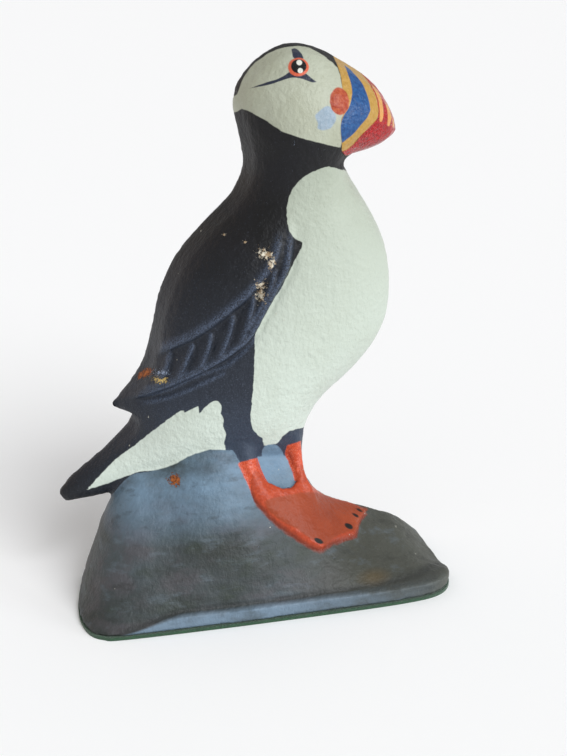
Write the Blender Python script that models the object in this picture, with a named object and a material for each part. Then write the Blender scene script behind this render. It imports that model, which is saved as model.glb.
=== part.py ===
"""Cast iron puffin doorstop: a puffin in deep relief on a rock, on a felt pad.

Run with: blender --background --python part.py
Metres, +Z up. The bird faces -Y and looks towards +X. The origin is on the
underside of the felt, in the middle of the rock's depth.
"""
import math

import bmesh
import bpy
import numpy as np
from mathutils.geometry import delaunay_2d_cdt

# Driving dimensions, in metres
HEIGHT = 0.240          # underside of the felt to the crown of the head
BASE_DEPTH = 0.055      # front edge of the rock to the flat back
WALL = 0.0055           # thickness of the iron
BASE_PLATE = 0.005      # thickness of the rock's floor
LIP_HEIGHT = 0.0065     # the low band around the foot of the rock
LIP_PROUD = 0.0022      # how far the band stands out from the rock
RIM_LAND = 0.0035       # straight rim of the casting before it swells
FELT_THICKNESS = 0.0015
FELT_PROUD = 0.0008     # the felt is cut a little larger than the rock
FELT_GAP = 0.0003       # clearance between felt and iron
BACK_RIM = 0.007        # width of the rim around the hollow, seen from behind
HOLLOW_DRAFT = 2.0      # slope of the hollow's sides, so that it leaves the mould
WING_LIFT = 0.0032      # how far the wing stands out from the body
COVERT_STEP = 0.0020    # height of the step below the short feathers
FEATHER_STEP = 0.0013   # height of the steps between the long feathers
FOOT_THICKNESS = 0.0050  # of the webbed foot along its outer side
TOE_THICKNESS = 0.0026  # and along its toes
LEG_RADIUS = 0.0052     # the legs' thicknesses below are shares of this
WELD = 0.00005          # vertices closer than this are one

# The figure is drawn on a grid: 240 units from the floor to the crown.
UNIT = HEIGHT / 240
BACK = BASE_DEPTH / 2
FLOOR = FELT_THICKNESS + FELT_GAP
OVERRUN = 4 * UNIT      # how far the rough pieces run past the back before it is cut flat

# Mesh sizes, in grid units
EDGE_STEP = 4.0         # along the bird's outline and the rock's footprint
RINGS = (1.0, 2.8, 5.6)  # rows of points inside the bird's outline
FIGURE_STEP = 4.8       # over the bird
CARVED_STEP = 2.5       # along the wing's carved lines
CARVED_GAP = 1.4        # least distance between points beside the carved lines
CARVED_INSET = 3.4      # the carved lines' own points stop this far inside the outline
ROCK_STEP = 4.4
HOLLOW_STEP = 6.0
HOLLOW_EDGE_STEP = 5.6
HOLLOW_RINGS = (-1.5, 1.5, 5.0)  # rows of points about the back rim's inner edge
ROCK_HOLLOW_RING = 5.0
LIP_RINGS = (0.6, 1.1, 2.2)  # rows of points about the lip's edge, in shares of its depth
FOOT_RING = 1.2
LEG_STEP = 3.5
LEG_SIDES = 3           # bevel resolution of the leg tubes
RING_SHARE = 0.93       # a ring's point is kept where it has this share of its distance
EDGE_SPACING = 0.45     # least spacing of the rings' points, as a share of the edge step
GRID_SPACING = 0.62     # least spacing of the grid's points, as a share of its step
GRID_INSET = 1.5        # the grid starts this far inside the last ring
ON_EDGE = 0.01

# Outline of the bird in grid units, clockwise from the beak's root on the crown.
# "c" marks a corner; the other points lie on one smooth curve.
OUTLINE = (
    (39.5, 232), (48, 227), (54.5, 221.5), (60, 214), (63, 207.5), (64, 203, "c"),
    (58.5, 198.5), (51, 195.5), (39.5, 193, "c"),
    (43.5, 185), (50, 175), (56.7, 163.5), (61.5, 151), (63.3, 136), (61.7, 121),
    (55, 108), (44.5, 96.5), (32.3, 86.5), (26.2, 76), (24.5, 66), (24, 54, "c"),
    (-20, 52), (-55, 46.5, "c"),
    (-72, 44), (-86, 42.5, "c"), (-88.5, 46.5), (-82, 54.5), (-67.5, 66.3), (-56, 77.5),
    (-53.5, 83, "c"), (-63, 87.5, "c"),
    (-56.5, 94.5), (-48, 107), (-43.3, 122), (-39.2, 138), (-32, 153), (-20.5, 166.5),
    (-7.5, 179), (-2, 191), (-3.5, 204), (-5.7, 215), (-3.2, 225), (6.5, 235),
    (18, 239.3), (29, 237.3),
)

# How full the relief is at each height: share of a round section
FULLNESS = ((40, 0.62), (70, 0.70), (150, 0.72), (185, 0.85), (205, 1.10), (240, 1.10))

# Carved lines of the wing, from the shoulder down to the tail
WING_EDGE = (
    (13, 175), (13.6, 165), (12.3, 158), (10.5, 152), (7, 146), (1, 135), (-5, 125),
    (-14.5, 117), (-28, 108.5), (-46, 98), (-64, 88),
)
COVERT_EDGE = (
    (9.5, 167), (7.5, 160.5), (4, 154), (-4.5, 144), (-11, 138.5), (-19.5, 131.5),
    (-27.5, 125.5), (-36, 120), (-43, 115),
)
FEATHER_LINES = (
    ((6, 153), (3.5, 146), (0, 139), (-6, 129)),
    ((-2.5, 144), (-5, 135), (-9, 123.5)),
    ((-11.5, 134.5), (-14, 126), (-19, 115)),
    ((-20.5, 127), (-22.5, 120), (-26.5, 111.5)),
    ((-28, 122), (-31, 115), (-35, 107.5)),
    ((-37, 118), (-39, 111), (-43, 103)),
)
LONG_FEATHER_LINE = ((-17, 114.5), (-27.5, 111), (-40, 104), (-54, 96))
# Section of the carving, in grid units
SHOULDER_START = 150    # the wing starts to blend into the shoulder at this height
SHOULDER_RUN = 26       # and is lost in it this much higher
CARVED_EDGE = 2.4       # width of the steps along the wing and the short feathers
FEATHER_EDGE = 1.8      # width of the step along a long feather
COVERT_FADE = 30        # how far behind its edge each raised part sinks back
FEATHER_FADE = 6
LONG_FEATHER_FADE = 9
LONG_FEATHER_SHARE = 0.8  # height of the longest feather's step as a share of the others
ROLL_RISE = 0.9         # rolled rim along the wing's edge
ROLL_FROM_EDGE = 3.2
GROOVE_DROP = 0.8       # hollow behind the rolled rim
GROOVE_FROM_EDGE = 7.5
ROLL_WIDTH = 2.2
FEATHERS_START = 2.4    # the long feathers begin this far behind the wing's edge
LONG_FEATHER_START = 0.9
FEATHERS_RUN = 3.0      # and reach their height over this run
UNDER_COVERTS = 2.0     # run over which they sink under the short feathers
RELIEF_RUN = 4          # the carving fades out towards the bird's outline over this run

# Footprint of the rock: x in grid units, y as a share of the depth from the back
FOOTPRINT = (
    (-80.5, 0.0), (-82.8, 0.25), (-84, 0.5), (-83.2, 0.7), (-79.8, 0.87), (-74.4, 0.95),
    (-65.5, 0.985), (-20, 1.0), (30, 0.995), (59, 0.98), (75, 0.94), (83.3, 0.84),
    (86.6, 0.67), (86.4, 0.4), (84, 0.0),
)
# Height of the rock along the back, over x
CREST = (
    (-85, 58), (-50, 58), (-40, 62), (-32, 68), (-24, 72), (-12, 72), (-4, 69), (4, 66.5),
    (9, 65.5), (13, 64), (17, 60.5), (20, 55), (22.5, 49), (25, 42.5), (28.5, 36), (34, 30.5),
    (42, 25.6), (53, 21.6), (61, 18), (71, 13.8), (77, 9.5), (82, 5), (86, 1.5),
)
# The height that the lower part of its face aims for, without the crest's steep right end
FACE_CREST = (
    (-85, 58), (-50, 58), (-40, 62), (-32, 68), (-24, 72), (-12, 72), (-4, 69), (4, 65),
    (12, 59), (20, 51), (28.5, 42), (36, 34), (44, 28), (53, 22.3), (61, 18), (71, 13.8),
    (77, 9.5), (82, 5), (86, 1.5),
)
FACE_HOLD = 6           # power by which the face keeps that height until near the crest
# Run from the front over which the face rises to that height, over x
RISE_RUN = (
    (-85, 43), (-40, 41), (-28, 37), (-12, 38), (-2, 44), (5, 48), (20, 50), (32, 54),
    (87, 55),
)
LEFT_FLANK_RUN = 29     # how far in the rock's left end reaches its full height
ROUNDNESS = 1.7         # how much the rock's slopes swell: 1 is straight
HOLLOW_CEILING = 51     # top of the space inside the rock; a shelf above it ties the walls
SIDE_LIP = 0.2          # share of the lip that is left along the rock's two ends
LIP_FADE_START = 0.2    # the lip starts to sink this share of the depth behind the front
LIP_FADE_RUN = 0.35
LIP_GROWS = (-74, -38)  # from the left the lip grows to its full size between these two x

# Legs: x, y, z and thickness along each, in grid units
LEFT_LEG = (
    (-7.4, 7.5, 72, 1.1), (-6.5, 4.7, 64, 1.0), (-4.6, 1.8, 58.3, 0.91),
    (-2.9, -0.3, 54.2, 0.88), (-1, -1.8, 50.6, 0.92), (1.6, -2.4, 46.6, 0.95), (5.6, 0, 41, 0.9),
)
RIGHT_LEG = (
    (15.6, 13.5, 73, 0.95), (16.9, 14.8, 65, 0.84), (18.2, 13.8, 59.3, 0.68),
    (19, 10.3, 53.8, 0.52), (20, 7.6, 49, 0.58), (21.2, 6.2, 45.4, 0.72), (23.5, 6, 38, 0.8),
)
# Webbed foot in plan: x, y in grid units
FOOT = (
    (-5.2, -4.6), (-3.8, -6.4), (1.5, -8), (7.7, -9.6), (13.5, -11.1), (18.8, -12.3),
    (24.4, -12.6, "c"), (31.2, -7.4), (44.3, 0.6, "c"), (48.8, 10.7), (55, 19.5, "c"),
    (48, 23.5), (37, 22), (29, 17.5), (22.5, 11), (17.5, 5), (14.4, 1.4), (9.4, -0.5),
    (5, -0.8), (0, -1), (-4, -2.6),
)
FOOT_THINNING = (14, 34)  # the foot thins towards its toes between these two x
FOOT_EDGE_SHARE = 0.8   # thickness of the foot at its edge as a share of the whole
FOOT_EDGE_RUN = 2.0     # and the run over which it thickens


def smooth_closed(points, step):
    """Points a step apart along a closed curve through the given ones, sharp at corners."""
    count = len(points)
    place = [np.array(p[:2], float) for p in points]
    corner = [len(p) > 2 for p in points]
    path = []
    for i in range(count):
        a, b = place[i], place[(i + 1) % count]
        before = a if corner[i] else place[i - 1]
        after = b if corner[(i + 1) % count] else place[(i + 2) % count]
        pieces = max(1, round(np.linalg.norm(b - a) / step))
        for t in np.arange(pieces) / pieces:
            path.append(catmull_rom(before, a, b, after, t))
    return np.array(path)


def catmull_rom(before, a, b, after, t):
    """Point at t along the span from a to b of a curve through all four."""
    return 0.5 * (2 * a + (b - before) * t + (2 * before - 5 * a + 4 * b - after) * t**2
                  + (3 * a - before - 3 * b + after) * t**3)


def distance_to_path(points, path, closed=True):
    """Distance of each point to a polyline."""
    starts = path if closed else path[:-1]
    ends = np.roll(path, -1, axis=0) if closed else path[1:]
    best = np.full(len(points), np.inf)
    for a, b in zip(starts, ends):
        share = np.clip(((points - a) @ (b - a)) / ((b - a) @ (b - a)), 0, 1)
        best = np.minimum(best, np.linalg.norm(points - a - share[:, None] * (b - a), axis=1))
    return best


def side_distance(points, path):
    """Distance of each point to an open polyline, positive on its left."""
    best = np.full(len(points), np.inf)
    signed = np.zeros(len(points))
    for a, b in zip(path[:-1], path[1:]):
        share = np.clip(((points - a) @ (b - a)) / ((b - a) @ (b - a)), 0, 1)
        apart = np.linalg.norm(points - a - share[:, None] * (b - a), axis=1)
        side = (b - a)[0] * (points - a)[:, 1] - (b - a)[1] * (points - a)[:, 0]
        nearer = apart < best
        best[nearer] = apart[nearer]
        signed[nearer] = (apart * np.sign(side))[nearer]
    return signed


def smooth_open(points, step):
    """Points a step apart along an open curve through the given ones."""
    place = [np.array(p, float) for p in points]
    path = []
    for i in range(len(place) - 1):
        before, after = place[max(0, i - 1)], place[min(len(place) - 1, i + 2)]
        pieces = max(1, round(np.linalg.norm(place[i + 1] - place[i]) / step))
        for t in np.arange(pieces) / pieces:
            path.append(catmull_rom(before, place[i], place[i + 1], after, t))
    return np.array(path + [place[-1]])


def inside(points, polygon):
    """True for each point that lies inside a polygon."""
    result = np.zeros(len(points), bool)
    x, y = points[:, 0], points[:, 1]
    for (ax, ay), (bx, by) in zip(polygon, np.roll(polygon, -1, axis=0)):
        if ay == by:
            continue
        crosses = (ay > y) != (by > y)
        result ^= crosses & (x < (bx - ax) * (y - ay) / (by - ay) + ax)
    return result


def hex_grid(low, high, step):
    """Points of a triangular grid over a rectangle."""
    rows = []
    for j, y in enumerate(np.arange(low[1], high[1], step * math.sqrt(0.75))):
        xs = np.arange(low[0] + (j % 2) * step / 2, high[0], step)
        rows.append(np.column_stack([xs, np.full(len(xs), y)]))
    return np.vstack(rows)


def offset_rings(outline, rings):
    """Points at each ring's distance inside an outline, where there is room for them."""
    ahead = np.roll(outline, -1, axis=0) - np.roll(outline, 1, axis=0)
    after = np.roll(outline, -1, axis=0)
    area = np.sum(outline[:, 0] * after[:, 1] - outline[:, 1] * after[:, 0])
    inward = np.column_stack([-ahead[:, 1], ahead[:, 0]]) * np.sign(area)
    inward /= np.linalg.norm(inward, axis=1)[:, None]
    found = []
    for ring in rings:
        points = outline + inward * ring
        near = distance_to_path(points, outline)
        found.append(points[inside(points, outline) & (near > RING_SHARE * ring)])
    return np.vstack(found)


def thin_out(points, spacing, kept):
    """The points that keep their spacing from those before them and from the kept ones."""
    chosen = list(kept)
    for point, gap in zip(points, spacing):
        if np.min(np.linalg.norm(np.array(chosen) - point, axis=1)) > gap:
            chosen.append(point)
    return np.array(chosen)


def triangulate(outline, inner):
    """Triangles that fill an outline and pass through the inner points."""
    points = np.vstack([outline, inner])
    loop = [list(range(len(outline)))]
    made, _, faces, _, _, _ = delaunay_2d_cdt([tuple(p) for p in points], [], loop, 1, 1e-6)
    return np.array([tuple(p) for p in made]), [tuple(f) for f in faces]


def membrane(points, faces, fixed):
    """Height of a film blown up from its fixed edge, as the half width of a round section."""
    count = len(points)
    stiffness = np.zeros((count, count))
    load = np.zeros(count)
    for face in faces:
        corners = points[list(face)]
        area = 0.5 * abs(np.cross(corners[1] - corners[0], corners[2] - corners[0]))
        for i in range(3):
            j, k = (i + 1) % 3, (i + 2) % 3
            cotangent = ((corners[j] - corners[i]) @ (corners[k] - corners[i])) / (2 * area)
            a, b = face[j], face[k]
            stiffness[a, b] -= cotangent / 2
            stiffness[b, a] -= cotangent / 2
            stiffness[a, a] += cotangent / 2
            stiffness[b, b] += cotangent / 2
            load[face[i]] += area / 3
    free = ~fixed
    height = np.zeros(count)
    height[free] = np.linalg.solve(stiffness[np.ix_(free, free)], load[free])
    return np.sqrt(np.maximum(2 * height, 0))


def along(profile, x):
    """Value at x of a smooth profile through (x, value) pairs."""
    table = np.array(profile, float)
    slopes = np.gradient(table[:, 1], table[:, 0])
    place = np.clip(np.searchsorted(table[:, 0], x) - 1, 0, len(table) - 2)
    x0, x1 = table[place, 0], table[place + 1, 0]
    t = np.clip((x - x0) / (x1 - x0), 0, 1)
    run = x1 - x0
    ends = (2 * t**3 - 3 * t**2 + 1) * table[place, 1] + (3 * t**2 - 2 * t**3) * table[place + 1, 1]
    tilt = (t**3 - 2 * t**2 + t) * slopes[place] + (t**3 - t**2) * slopes[place + 1]
    return ends + run * tilt


def smooth_step(x):
    """0 below 0, 1 above 1, with a soft start and end."""
    t = np.clip(x, 0, 1)
    return t * t * (3 - 2 * t)


def add_object(name, collection, bm, material=None, cutter=False):
    """Turn a bmesh into an object with its faces pointing out."""
    bmesh.ops.recalc_face_normals(bm, faces=bm.faces)
    mesh = bpy.data.meshes.new(name)
    bm.to_mesh(mesh)
    bm.free()
    thing = bpy.data.objects.new(name, mesh)
    collection.objects.link(thing)
    if material:
        mesh.materials.append(material)
    if cutter:
        thing.hide_render = True
        thing.display_type = "WIRE"
    return thing


def raised_solid(corners, faces, closing):
    """Close a surface with straight sides to a flat face: closing moves a point there."""
    bm = bmesh.new()
    verts = [bm.verts.new(c) for c in corners]
    for face in faces:
        bm.faces.new([verts[i] for i in face])
    rim = [e for e in bm.edges if e.is_boundary]
    made = bmesh.ops.extrude_edge_only(bm, edges=rim)["geom"]
    far = [g for g in made if isinstance(g, bmesh.types.BMVert)]
    for vert in far:
        vert.co = closing(vert.co)
    rim = [e for e in bm.edges if e.is_boundary]
    bmesh.ops.contextual_create(bm, geom=rim)
    return bm


def lapped_edge(points, line, rise, fade):
    """A feather's edge: a step up on the right of a line that dies away behind it."""
    behind = -side_distance(points, smooth_open(line, CARVED_STEP))
    return rise * smooth_step(behind / FEATHER_EDGE + 0.5) * np.exp(-np.maximum(behind, 0) / fade)


def wing_relief(points):
    """Depth that the wing and its feathers add to the body, in grid units."""
    edge = -side_distance(points, smooth_open(WING_EDGE, CARVED_STEP))
    covert = -side_distance(points, smooth_open(COVERT_EDGE, CARVED_STEP))
    shoulder = 1 - smooth_step((points[:, 1] - SHOULDER_START) / SHOULDER_RUN)
    wing = WING_LIFT / UNIT * smooth_step(edge / CARVED_EDGE + 0.5)
    roll = ROLL_RISE * np.exp(-((edge - ROLL_FROM_EDGE) / ROLL_WIDTH)**2)
    groove = GROOVE_DROP * np.exp(-((edge - GROOVE_FROM_EDGE) / ROLL_WIDTH)**2)
    step_up = smooth_step(covert / CARVED_EDGE + 0.5)
    coverts = COVERT_STEP / UNIT * step_up * np.exp(-np.maximum(covert, 0) / COVERT_FADE)
    rise = FEATHER_STEP / UNIT
    feathers = sum(lapped_edge(points, line, rise, FEATHER_FADE) for line in FEATHER_LINES)
    longest = lapped_edge(points, LONG_FEATHER_LINE, LONG_FEATHER_SHARE * rise, LONG_FEATHER_FADE)
    uncovered = smooth_step(-covert / UNDER_COVERTS)
    feathers *= uncovered * smooth_step((edge - FEATHERS_START) / FEATHERS_RUN)
    longest *= uncovered * smooth_step((edge - LONG_FEATHER_START) / FEATHERS_RUN)
    return shoulder * (wing + roll - groove + coverts) + feathers + longest


def figure_surface(edge_step, rings, grid_step, carved):
    """Grid points inside the bird's outline, their triangles, depth and distance to the edge."""
    outline = smooth_closed(OUTLINE, edge_step)
    low, high = outline.min(axis=0), outline.max(axis=0)
    inner = offset_rings(outline, rings)
    spacing = np.full(len(inner), EDGE_SPACING * edge_step)
    if carved:
        for line in (WING_EDGE, COVERT_EDGE, LONG_FEATHER_LINE) + FEATHER_LINES:
            path = smooth_open(line, CARVED_STEP)
            ahead = np.gradient(path, axis=0)
            aside = np.column_stack([ahead[:, 1], -ahead[:, 0]])
            aside /= np.linalg.norm(aside, axis=1)[:, None]
            rows = np.vstack([path + aside, path - aside])
            rows = rows[inside(rows, outline)]
            inner = np.vstack([inner, rows[distance_to_path(rows, outline) > CARVED_INSET]])
            spacing = np.append(spacing, np.full(len(inner) - len(spacing), CARVED_GAP))
    grid = hex_grid(low, high, grid_step)
    grid = grid[inside(grid, outline)]
    grid = grid[distance_to_path(grid, outline) > rings[-1] + GRID_INSET]
    inner = np.vstack([inner, grid])
    spacing = np.append(spacing, np.full(len(inner) - len(spacing), GRID_SPACING * grid_step))
    inner = thin_out(inner, spacing, outline)[len(outline):]
    points, faces = triangulate(outline, inner)
    edge = distance_to_path(points, outline)
    swell = along(FULLNESS, points[:, 1]) * membrane(points, faces, edge < ON_EDGE)
    return points, faces, RIM_LAND / UNIT + swell, edge


def figure(collection):
    """The bird in relief."""
    points, faces, depth, edge = figure_surface(EDGE_STEP, RINGS, FIGURE_STEP, True)
    depth = depth + wing_relief(points) * smooth_step(edge / RELIEF_RUN)
    corners = [(x * UNIT, BACK - d * UNIT, z * UNIT) for (x, z), d in zip(points, depth)]
    bm = raised_solid(corners, faces, lambda co: (co.x, BACK + OVERRUN, co.z))
    return add_object("figure", collection, bm, cutter=True)


def steepness(points, faces, heights):
    """How much longer than its plan a surface of heights is, at each point."""
    normal = np.zeros((len(points), 3))
    place = np.column_stack([points, heights])
    for face in faces:
        a, b, c = place[list(face)]
        across = np.cross(b - a, c - a)
        for corner in face:
            normal[corner] += across * np.sign(across[2])
    return np.linalg.norm(normal, axis=1) / normal[:, 2]


def figure_hollow(collection):
    """The space behind the bird: its relief moved back by the wall, inside the back rim."""
    rim = BACK_RIM / UNIT
    rings = [rim + ring for ring in HOLLOW_RINGS]
    points, faces, depth, edge = figure_surface(HOLLOW_EDGE_STEP, rings, HOLLOW_STEP, False)
    inner = depth - WALL / UNIT * steepness(points, faces, depth)
    inner = np.minimum(inner, HOLLOW_DRAFT * (edge - rim))
    inner = np.maximum(inner, -OVERRUN / UNIT)
    corners = [(x * UNIT, BACK - d * UNIT, z * UNIT) for (x, z), d in zip(points, inner)]
    bm = raised_solid(corners, faces, lambda co: (co.x, BACK + 2 * OVERRUN, co.z))
    return add_object("figure_hollow", collection, bm, cutter=True)


def rounded_rise(share):
    """Rise from 0 to 1 that starts steep and ends gently."""
    return 1 - (1 - np.clip(share, 0, 1))**ROUNDNESS


def rock_height(points):
    """Height of the rock over plan points, in grid units."""
    edge = plan_outline(EDGE_STEP)
    corner = np.argmin(edge[:, 1])
    left, front = edge[:corner + 1], edge[np.argmin(edge[:, 0]):np.argmax(edge[:, 0]) + 1]
    x, y = points[:, 0], points[:, 1]
    front_run = y - np.interp(x, front[:, 0], front[:, 1])
    left_run = x - np.interp(-y, -left[:, 1], left[:, 0])
    behind_front = (y + BACK / UNIT) / (BASE_DEPTH / UNIT)
    by_front = 1 - smooth_step((behind_front - LIP_FADE_START) / LIP_FADE_RUN)
    start, end = LIP_GROWS
    size = SIDE_LIP + (1 - SIDE_LIP) * by_front * smooth_step((x - start) / (end - start))
    lip = LIP_HEIGHT / UNIT * size
    proud = LIP_PROUD / UNIT * size
    up_face = rounded_rise((front_run - proud) / along(RISE_RUN, x))
    up_flank = rounded_rise((left_run - proud) / LEFT_FLANK_RUN)
    face = along(FACE_CREST, x)
    aim = face + (along(CREST, x) - face) * up_face ** FACE_HOLD
    return lip + np.maximum(0, aim - lip) * up_face * up_flank


def plan_outline(step):
    """The footprint's curve in grid units, open along the back."""
    back, deep = BACK / UNIT, BASE_DEPTH / UNIT
    return smooth_open([(x, back - share * deep) for x, share in FOOTPRINT], step)


def rock_surface(rings, grid_step, behind):
    """Plan points of the rock, their triangles and heights, reaching behind the back."""
    free_edge = plan_outline(EDGE_STEP)
    across = np.arange(free_edge[-1][0], free_edge[0][0], -grid_step)
    outline = np.vstack([free_edge, np.column_stack([across, np.full(len(across), behind)])])
    inner = offset_rings(outline, rings)
    grid = hex_grid(outline.min(axis=0), outline.max(axis=0), grid_step)
    grid = grid[inside(grid, outline)]
    grid = grid[distance_to_path(grid, outline) > rings[-1] + GRID_INSET]
    points, faces = triangulate(outline, np.vstack([inner, grid]))
    return points, faces, rock_height(points)


def rock(collection):
    """The rock with its lip: heights over the footprint."""
    rings = [share * LIP_PROUD / UNIT for share in LIP_RINGS]
    points, faces, heights = rock_surface(rings, ROCK_STEP, (BACK + OVERRUN) / UNIT)
    corners = [(x * UNIT, y * UNIT, FLOOR + h * UNIT) for (x, y), h in zip(points, heights)]
    bm = raised_solid(corners, faces, lambda co: (co.x, co.y, FLOOR))
    return add_object("rock", collection, bm, cutter=True)


def rock_hollow(collection):
    """The space inside the rock: its surface moved in by the wall, above the floor plate."""
    behind = (BACK + 2 * OVERRUN) / UNIT
    points, faces, heights = rock_surface((ROCK_HOLLOW_RING,), HOLLOW_STEP, behind)
    inner = heights - WALL / UNIT * steepness(points, faces, heights)
    inner = np.clip(inner, 0, HOLLOW_CEILING)
    corners = [(x * UNIT, y * UNIT, FLOOR + h * UNIT) for (x, y), h in zip(points, inner)]
    bm = raised_solid(corners, faces, lambda co: (co.x, co.y, -BASE_PLATE))
    hollow = add_object("rock_hollow", collection, bm, cutter=True)
    wide = HEIGHT
    plate = box("floor_plate", (-wide, -wide, -wide), (wide, wide, FLOOR + BASE_PLATE), collection)
    join_or_cut(hollow, plate, "DIFFERENCE")
    return hollow


def leg(name, route, collection):
    """A leg as a tapered tube."""
    curve = bpy.data.curves.new(name, "CURVE")
    curve.dimensions = "3D"
    curve.bevel_depth = LEG_RADIUS
    curve.bevel_resolution = LEG_SIDES
    curve.use_fill_caps = True
    route = smooth_open(route, LEG_STEP)
    spline = curve.splines.new("POLY")
    spline.points.add(len(route) - 1)
    for point, (x, y, z, thickness) in zip(spline.points, route):
        point.co = (x * UNIT, y * UNIT, z * UNIT, 1)
        point.radius = thickness
    tube = bpy.data.objects.new(name, curve)
    collection.objects.link(tube)
    bpy.context.view_layer.update()
    built = tube.evaluated_get(bpy.context.evaluated_depsgraph_get())
    mesh = bpy.data.meshes.new_from_object(built)
    bm = bmesh.new()
    bm.from_mesh(mesh)
    bmesh.ops.remove_doubles(bm, verts=bm.verts, dist=WELD)
    bpy.data.objects.remove(tube)
    bpy.data.meshes.remove(mesh)
    return add_object(name, collection, bm, cutter=True)


def foot(collection):
    """The webbed foot: a plate that lies on the rock's slope."""
    outline = smooth_closed(FOOT, EDGE_STEP)
    grid = hex_grid(outline.min(axis=0), outline.max(axis=0), ROCK_STEP)
    grid = grid[inside(grid, outline)]
    rings = offset_rings(outline, (FOOT_RING,))
    grid = grid[distance_to_path(grid, outline) > FOOT_RING + GRID_INSET]
    points, faces = triangulate(outline, np.vstack([rings, grid]))
    edge = distance_to_path(points, outline)
    full = FOOT_EDGE_SHARE + (1 - FOOT_EDGE_SHARE) * smooth_step(edge / FOOT_EDGE_RUN)
    start, end = FOOT_THINNING
    thinned = smooth_step((points[:, 0] - start) / (end - start))
    thick = FOOT_THICKNESS + (TOE_THICKNESS - FOOT_THICKNESS) * thinned
    heights = rock_height(points) + thick / UNIT * full
    corners = [(x * UNIT, y * UNIT, FLOOR + h * UNIT) for (x, y), h in zip(points, heights)]
    bm = raised_solid(corners, faces, lambda co: (co.x, co.y, FLOOR + BASE_PLATE))
    return add_object("foot", collection, bm, cutter=True)


def join_or_cut(body, tool, operation):
    """Boolean of one object with another."""
    step = body.modifiers.new(tool.name, "BOOLEAN")
    step.operation = operation
    step.solver = "EXACT"
    step.object = tool


def box(name, low, high, collection):
    """A box cutter between two corners."""
    bm = bmesh.new()
    bmesh.ops.create_cube(bm, size=1)
    for vert in bm.verts:
        for axis in range(3):
            vert.co[axis] = low[axis] if vert.co[axis] < 0 else high[axis]
    return add_object(name, collection, bm, cutter=True)


def paint(name, colour, roughness):
    """A plain painted finish."""
    material = bpy.data.materials.new(name)
    material.use_nodes = True
    shader = material.node_tree.nodes["Principled BSDF"]
    shader.inputs["Base Color"].default_value = (*colour, 1)
    shader.inputs["Roughness"].default_value = roughness
    return material


def felt_pad(collection, material):
    """The felt under the rock, cut a little larger than it."""
    outline = plan_outline(EDGE_STEP)
    grown = outline.copy()
    middle = np.array([0.0, BACK / UNIT])
    ahead = np.gradient(outline, axis=0)
    out = np.column_stack([ahead[:, 1], -ahead[:, 0]])
    out /= np.linalg.norm(out, axis=1)[:, None]
    out *= np.sign(np.sum(out * (outline - middle), axis=1))[:, None]
    grown += out * FELT_PROUD / UNIT
    bm = bmesh.new()
    verts = [bm.verts.new((x * UNIT, min(y * UNIT, BACK), FELT_THICKNESS)) for x, y in grown]
    face = bm.faces.new(verts)
    made = bmesh.ops.extrude_face_region(bm, geom=[face])["geom"]
    for item in made:
        if isinstance(item, bmesh.types.BMVert):
            item.co.z = 0
    return add_object("felt_pad", collection, bm, material)


def main():
    for thing in list(bpy.data.objects):
        bpy.data.objects.remove(thing)
    doorstop = bpy.data.collections.new("puffin_doorstop")
    cutters = bpy.data.collections.new("rough_pieces_and_cutters")
    for collection in (doorstop, cutters):
        bpy.context.scene.collection.children.link(collection)

    casting = figure(doorstop)
    casting.name = "puffin_casting"
    casting.hide_render = False
    casting.display_type = "TEXTURED"
    casting.data.materials.append(paint("painted_iron", (0.10, 0.12, 0.16), 0.45))
    pieces = [rock(cutters), foot(cutters),
              leg("left_leg", LEFT_LEG, cutters), leg("right_leg", RIGHT_LEG, cutters)]
    for piece in pieces:
        join_or_cut(casting, piece, "UNION")
    wide = HEIGHT
    behind = box("flat_back", (-wide, BACK, -wide), (wide, BACK + wide, 2 * wide), cutters)
    for cutter in (behind, figure_hollow(cutters), rock_hollow(cutters)):
        join_or_cut(casting, cutter, "DIFFERENCE")
    felt_pad(doorstop, paint("green_felt", (0.05, 0.22, 0.10), 0.95))


main()
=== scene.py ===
"""Looks of the cast iron puffin doorstop: its fine casting, paint, wear, felt and studio.

Metres, +Z up. The bird faces -Y and looks towards +X. Shapes that are carved or painted on
the relief are written in millimetres. Paint edges are written in the photograph's pixels.
"""

import math

import bmesh
import bpy
import numpy as np
from mathutils import Matrix, Vector, noise
from mathutils.bvhtree import BVHTree


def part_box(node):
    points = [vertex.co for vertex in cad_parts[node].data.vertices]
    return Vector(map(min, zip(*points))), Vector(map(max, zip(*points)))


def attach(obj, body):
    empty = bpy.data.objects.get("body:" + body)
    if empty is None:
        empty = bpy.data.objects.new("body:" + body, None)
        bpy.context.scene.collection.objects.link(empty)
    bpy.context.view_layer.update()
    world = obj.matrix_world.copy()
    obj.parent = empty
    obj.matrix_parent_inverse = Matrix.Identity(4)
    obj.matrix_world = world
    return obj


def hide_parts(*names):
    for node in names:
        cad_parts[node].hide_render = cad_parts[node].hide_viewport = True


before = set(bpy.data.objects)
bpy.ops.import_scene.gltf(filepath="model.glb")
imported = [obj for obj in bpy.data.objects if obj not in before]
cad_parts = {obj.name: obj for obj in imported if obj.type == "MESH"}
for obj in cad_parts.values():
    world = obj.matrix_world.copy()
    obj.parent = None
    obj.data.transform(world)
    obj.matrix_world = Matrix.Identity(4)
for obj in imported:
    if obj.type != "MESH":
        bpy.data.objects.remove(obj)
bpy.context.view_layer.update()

MM = 0.001

# Camera, as the photograph was taken, and the room
PICTURE = (567, 756)      # width and height in pixels
CAMERA_TURN = -12.4       # degrees; below 0 the camera stands to the left of the front
CAMERA_RISE = 22
CAMERA_DISTANCE = 0.450
CAMERA_TARGET = Vector((0.0098, 0, 0.104))
LENS = 50
SENSOR = 36               # mm, along the picture's height
FLOOR_REACH = 30.0        # metres
ROOM_LIGHT = 0.5
PX_PER_MM = 2.35          # about the middle of the object

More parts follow.
